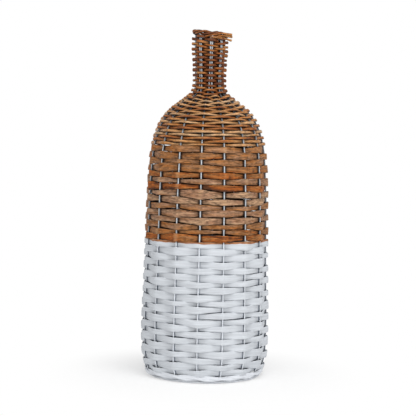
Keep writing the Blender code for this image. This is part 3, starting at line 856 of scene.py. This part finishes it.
def body_willow(name):
    """Split willow of the body: it looks dry, fibrous and matt, in browns from orange to grey beige.

    Below a level line it is under thin white paint, which leaves the grain visible and a stained edge
    where it ends. Dark cracks, 1 mm apart and 40 mm long, and stains of 13 by 5 mm break up the bare
    strips, and bends over a stake are worn pale and carry a painted highlight. Painted shade darkens the
    weave's recesses, brown on the bare strips and bluish grey under the paint, and the inner faces, which
    on the bare strips are also their own darker side. Fibres are really 0.2 mm apart and are drawn 0.8 mm
    apart, as coarse as they need to show.
    """
    made, shader = new_finish(name, 0.68, 0.22)
    fibre = grain_field(made, 0.03, 0.0008, 3.0)
    stops = [
        (0.0, "4E2C16"), (0.22, "9E541A"), (0.42, "9A6434"), (0.62, "946844"), (0.82, "9A7358"),
        (1.0, "AE8A6A"),
    ]
    bare = natural_willow(made, stops, fibre, 0.045)
    bare = dim_by(made, bare, grain_field(made, 0.04, 0.0011, 2.0, shift=5.0), 0.61, 0.69, 1.0, 0.3)
    bare = dim_by(made, bare, grain_field(made, 0.013, 0.0045, 3.0, shift=11.0), 0.55, 0.68, 1.0, 0.5)
    worn = grain_field(made, 0.05, 0.004, 3.0, shift=3.0)
    paint = add_node(made, "ShaderNodeValToRGB", {}, {}, {"Fac": worn})
    paint = set_stops(paint, [(0.3, "BDC1C6"), (0.7, "CBCFD4")])
    paint = dim_by(made, paint, fibre, 0.34, 0.6, 0.86, 1.03)
    spot = add_node(made, "ShaderNodeTexCoord").outputs["Object"]
    wobble = add_node(
        made, "ShaderNodeTexNoise", {}, {"Scale": 60.0, "Detail": 2.0}, {"Vector": spot}
    ).outputs["Fac"]
    height = add_node(made, "ShaderNodeSeparateXYZ", {}, {}, {"Vector": spot}).outputs["Z"]
    low, high = PAINT_HEIGHT - 0.8 * MM, PAINT_HEIGHT + 0.8 * MM
    edge = add_node(
        made, "ShaderNodeMapRange", {}, {"From Min": 0.3, "From Max": 0.7, "To Min": low, "To Max": high},
        {"Value": wobble},
    ).outputs["Result"]
    above = add_node(made, "ShaderNodeMath", {"operation": "SUBTRACT"}, {}, {0: height, 1: edge}).outputs[0]
    bare = fade_to(made, bare, "9C5A28", above, 5.0 * MM, 0.5 * MM, 0.55)
    # Worn pale bends, partly a painted highlight
    rub_and_highlight = add_node(made, "ShaderNodeAttribute", {"attribute_name": "rub_and_highlight"}).outputs["Fac"]
    bare = fade_to(made, bare, "CDA67C", rub_and_highlight, 0.2, 1.0, 0.35)
    # Painted shade in the weave's recesses and on the inner faces; on the bare strips the inner faces are
    # partly their own darker side
    bare = shade_crevices(made, bare, "36200C", "221206")
    paint = shade_crevices(made, paint, "D6DFED", "6A7078")
    covered = add_node(
        made, "ShaderNodeMapRange", {}, {"From Min": 0.4 * MM, "From Max": -0.4 * MM}, {"Value": above}
    ).outputs["Result"]
    colour = add_node(
        made, "ShaderNodeMix", {"data_type": "RGBA"}, {}, {0: covered, 6: bare, 7: paint}
    ).outputs[2]
    return dress(made, shader, colour, fibre, 0.5, 0.5 * MM)


def rod_willow(name):
    """Thin round rods: steamed willow with its bark off, orange brown and smooth enough for a faint sheen.

    Painted shade makes it nearly black in the weave's recesses, which keeps the thin rods apart to the eye,
    and dark on its inner faces. Its fibres too are drawn coarser than they are, 0.9 mm apart.
    """
    made, shader = new_finish(name, 0.5, 0.28)
    fibre = grain_field(made, 0.02, 0.0009, 2.0)
    stops = [(0.0, "6C350E"), (0.3, "9C5A20"), (0.55, "B27A42"), (0.8, "C09060"), (1.0, "C4A27C")]
    # Painted shade, nearly black, in the weave's recesses and on the rods' inner faces
    colour = shade_crevices(made, natural_willow(made, stops, fibre, 0.035), "321A04", "200E02")
    return dress(made, shader, colour, fibre, 0.35, 0.4 * MM)


def painted_rod_willow(name):
    """Rods, twine and border of the foot under matt white paint: bright, with the same grain in grey, and
    painted shade.
    """
    made, shader = new_finish(name, 0.58)
    fibre = grain_field(made, 0.02, 0.0009, 2.0)
    paint = add_node(made, "ShaderNodeValToRGB", {}, {}, {"Fac": fibre})
    paint = set_stops(paint, [(0.35, "C6CAD0"), (0.65, "D8DBE0")])
    # Painted shade in the weave's recesses
    painted_shade = add_node(made, "ShaderNodeAttribute", {"attribute_name": "painted_shade"}).outputs["Fac"]
    paint = dim_by(made, paint, painted_shade, 0.0, 1.0, 1.0, 0.78)
    return dress(made, shader, paint, fibre, 0.35, 0.4 * MM)


def coated_wire(name):
    """Drawn steel wire in a thin pale coating: satin grey, a little mottled where the coat is uneven.

    Painted shade darkens its flanks and greys its inner side, as they lie deep in the weave, and darkens all
    of it under the closely laid rods of the upper shoulder, between the grey ramp's stops. Near the mouth,
    where a pair's two wires nearly touch, their flanks are left as pale as the rest. Below the paint line it
    is white.
    """
    made, shader = new_finish(name, 0.38)
    spot = add_node(made, "ShaderNodeTexCoord").outputs["Object"]
    mottle = add_node(
        made, "ShaderNodeTexNoise", {}, {"Scale": 90.0, "Detail": 3.0}, {"Vector": spot}
    ).outputs["Fac"]
    colour = add_node(made, "ShaderNodeValToRGB", {}, {}, {"Fac": mottle})
    colour = set_stops(colour, [(0.35, "A8ADB2"), (0.65, "CCD0D4")])
    inward = depth_in_piece(made)
    height = add_node(made, "ShaderNodeSeparateXYZ", {}, {}, {"Vector": spot}).outputs["Z"]
    # Painted shade on the flanks
    deep = fade_to(made, colour, "2A2018", inward, -1.15 * MM, -0.5 * MM)
    touching = add_node(
        made, "ShaderNodeMapRange", {}, {"From Min": 0.525, "From Max": 0.55, "To Max": 0.9},
        {"Value": height},
    ).outputs["Result"]
    colour = add_node(
        made, "ShaderNodeMix", {"data_type": "RGBA"}, {}, {0: touching, 6: deep, 7: colour}
    ).outputs[2]
    # Painted shade on all of the wire under the upper shoulder's rods
    rise = add_node(
        made, "ShaderNodeMapRange", {}, {"From Min": 0.394, "From Max": 0.5}, {"Value": height}
    ).outputs["Result"]
    stops = [
        (0.0, "FFFFFF"), (0.16, "D0D0D0"), (0.40, "C0C0C0"), (0.58, "585858"), (0.90, "585858"),
        (1.0, "FFFFFF"),
    ]
    grey = set_stops(add_node(made, "ShaderNodeValToRGB", {}, {}, {"Fac": rise}), stops)
    colour = add_node(
        made, "ShaderNodeMix", {"data_type": "RGBA", "blend_type": "MULTIPLY"}, {0: 1.0}, {6: colour, 7: grey}
    ).outputs[2]
    colour = fade_to(made, colour, "D6DAE0", height, PAINT_HEIGHT + 0.3 * MM, PAINT_HEIGHT - 0.3 * MM)
    # Painted shade, grey, on the inner side
    colour = fade_to(made, colour, "6A7078", inward, -0.9 * MM, -0.3 * MM)
    made.node_tree.links.new(colour, shader.inputs["Base Color"])
    return made


def backdrop_rays(made):
    """1 for rays that see the white backdrop, from the camera, off gloss and through glass, and else 0."""
    rays = add_node(made, "ShaderNodeLightPath").outputs
    seen = rays["Is Camera Ray"]
    for other in ("Is Glossy Ray", "Is Transmission Ray"):
        seen = add_node(
            made, "ShaderNodeMath", {"operation": "ADD", "use_clamp": True}, {}, {0: seen, 1: rays[other]}
        ).outputs[0]
    return seen


def add_floor():
    """Pale floor: it keeps the vase's shadow near it, and is plain white for the camera 30 cm away."""
    bpy.ops.mesh.primitive_plane_add(size=24.0)
    floor = bpy.context.object
    floor.name = "studio_floor"
    made = bpy.data.materials.new("matt_white_floor")
    made.use_nodes = True
    made.node_tree.nodes.clear()
    matt = add_node(made, "ShaderNodeBsdfDiffuse", {}, {"Color": linear("FAFAFA")})
    white = add_node(made, "ShaderNodeEmission", {}, {"Color": (1, 1, 1, 1), "Strength": 1.0})
    spot = add_node(made, "ShaderNodeTexCoord").outputs["Object"]
    reach = add_node(made, "ShaderNodeVectorMath", {"operation": "LENGTH"}, {}, {0: spot}).outputs["Value"]
    far = add_node(
        made, "ShaderNodeMapRange", {"interpolation_type": "SMOOTHSTEP"},
        {"From Min": 0.10, "From Max": 0.30, "To Min": 0.50}, {"Value": reach},
    ).outputs["Result"]
    share = add_node(
        made, "ShaderNodeMath", {"operation": "MULTIPLY"}, {}, {0: backdrop_rays(made), 1: far}
    ).outputs[0]
    links = {0: share, 1: matt.outputs[0], 2: white.outputs[0]}
    blend = add_node(made, "ShaderNodeMixShader", {}, {}, links)
    add_node(made, "ShaderNodeOutputMaterial", {}, {}, {"Surface": blend.outputs[0]})
    floor.data.materials.append(made)


def add_world():
    """White backdrop for the camera and for gloss, over a plain grey light from all round."""
    world = bpy.data.worlds.new("white_studio")
    bpy.context.scene.world = world
    world.use_nodes = True
    world.node_tree.nodes.clear()
    around = add_node(world, "ShaderNodeBackground", {}, {"Color": (1, 1, 1, 1), "Strength": AROUND_STRENGTH})
    white = add_node(world, "ShaderNodeBackground", {}, {"Color": (1, 1, 1, 1), "Strength": 1.0})
    links = {0: backdrop_rays(world), 1: around.outputs[0], 2: white.outputs[0]}
    blend = add_node(world, "ShaderNodeMixShader", {}, {}, links)
    add_node(world, "ShaderNodeOutputWorld", {}, {}, {"Surface": blend.outputs[0]})


def add_lamp(name, side, power, spot, aim):
    """A square soft lamp that looks from its spot at a point."""
    data = bpy.data.lights.new(name, "AREA")
    data.size = side
    data.energy = power
    lamp = bpy.data.objects.new(name, data)
    bpy.context.scene.collection.objects.link(lamp)
    lamp.location = spot
    lamp.rotation_euler = (Vector(aim) - Vector(spot)).to_track_quat("-Z", "Y").to_euler()


def add_camera():
    """A camera 2.1 m away, a little above the middle: it looks down by 3 degrees and is rolled slightly."""
    data = bpy.data.cameras.new("photo_camera")
    data.lens = CAMERA_LENS
    data.sensor_width = 36.0
    camera = bpy.data.objects.new("photo_camera", data)
    bpy.context.scene.collection.objects.link(camera)
    turn = Matrix.Rotation(0.5 * math.pi - CAMERA_PITCH, 4, "X") @ Matrix.Rotation(CAMERA_ROLL, 4, "Z")
    camera.matrix_world = Matrix.Translation(CAMERA_SPOT) @ turn
    bpy.context.scene.camera = camera


def lengths(stem, letter, count):
    """Names of the solids that one weaver of a zone replaces: its spliced lengths, from the lowest up."""
    return [f"{stem}_{letter}_{number}" for number in range(1, count + 1)]


def main():
    """Dress the vase and light it."""
    body = Weave(arc_at_height(BODY_WEAVE_START), BAND_ARC, *BODY_ZONE)
    shoulder = Weave(BAND_ARC, PAIRING_ARC, *SHOULDER_ZONE)
    neck = Weave(PAIRING_ARC, LINE_ARC[-1], *NECK_ZONE, NECK_SEAM, paired=True)
    base = Weave(arc_at_spoke(BASE_WEAVE_START), arc_at_spoke(BASE_WEAVE_END), *BASE_ZONE)
    painted_slot, plain_slot, rod_slot = "white_painted_willow", "brown_split_willow", "brown_willow_rod"
    painted_strips, plain_strips = body_willow(painted_slot), body_willow(plain_slot)
    plain_rods, painted_rods = rod_willow(rod_slot), painted_rod_willow("white_painted_willow_rod")
    wire = coated_wire("coated_wire")
    for order, letter in enumerate("ab"):
        # The painted and the plain strip meet near the paint's edge, just past a stake that they go behind
        joint = STAKES * (PAINTED_TURNS + 1 - order - body.seam_share)
        joint += (joint + body.seam_stake + order + 1) % 2 + 0.3
        first, last = body.ends()
        add_strip(
            f"painted_strip_{letter}", body, order, first, joint - 0.01, PAINTED_STRIP, {}, painted_strips,
            lengths("lower_weaver", letter, 5),
        )
        add_strip(
            f"plain_strip_{letter}", body, order, joint + 0.01, last, PLAIN_STRIP, BODY_TONES[order],
            plain_strips, lengths("upper_weaver", letter, 4),
        )
        for zone, weave, rod, finish, slot, count in (
            ("shoulder", shoulder, SHOULDER_ROD, plain_rods, rod_slot, 4),
            ("neck", neck, NECK_ROD, plain_rods, rod_slot, 4),
            ("base", base, BASE_ROD, painted_rods, painted_slot, 1),
        ):
            name, nodes = f"{zone}_rod_{letter}", lengths(f"{zone}_weaver", letter, count)
            add_rod(name, weave, order, rod, finish, nodes)
    add_foot_twine(painted_rods)
    add_stakes(wire)
    add_border(
        "foot_border_rod", FOOT_BORDER_RADIUS, FOOT_BORDER_HEIGHT, FOOT_CORE, FOOT_STRAND, FOOT_CRESTS,
        0.0, painted_rods, ("foot_border",),
    )
    add_border(
        "rim_border_rod", RIM_BORDER_RADIUS, RIM_BORDER_HEIGHT, RIM_CORE, RIM_STRAND, RIM_CRESTS,
        RIM_SLOPE, plain_rods, ("rim_border",),
    )
    add_rim_ends(plain_rods)
    bpy.data.objects["base_hub"].material_slots[0].material = wire
    add_floor()
    add_world()
    for lamp in LAMPS:
        add_lamp(*lamp)
    add_camera()
    bpy.context.scene.view_settings.view_transform = "Standard"


main()
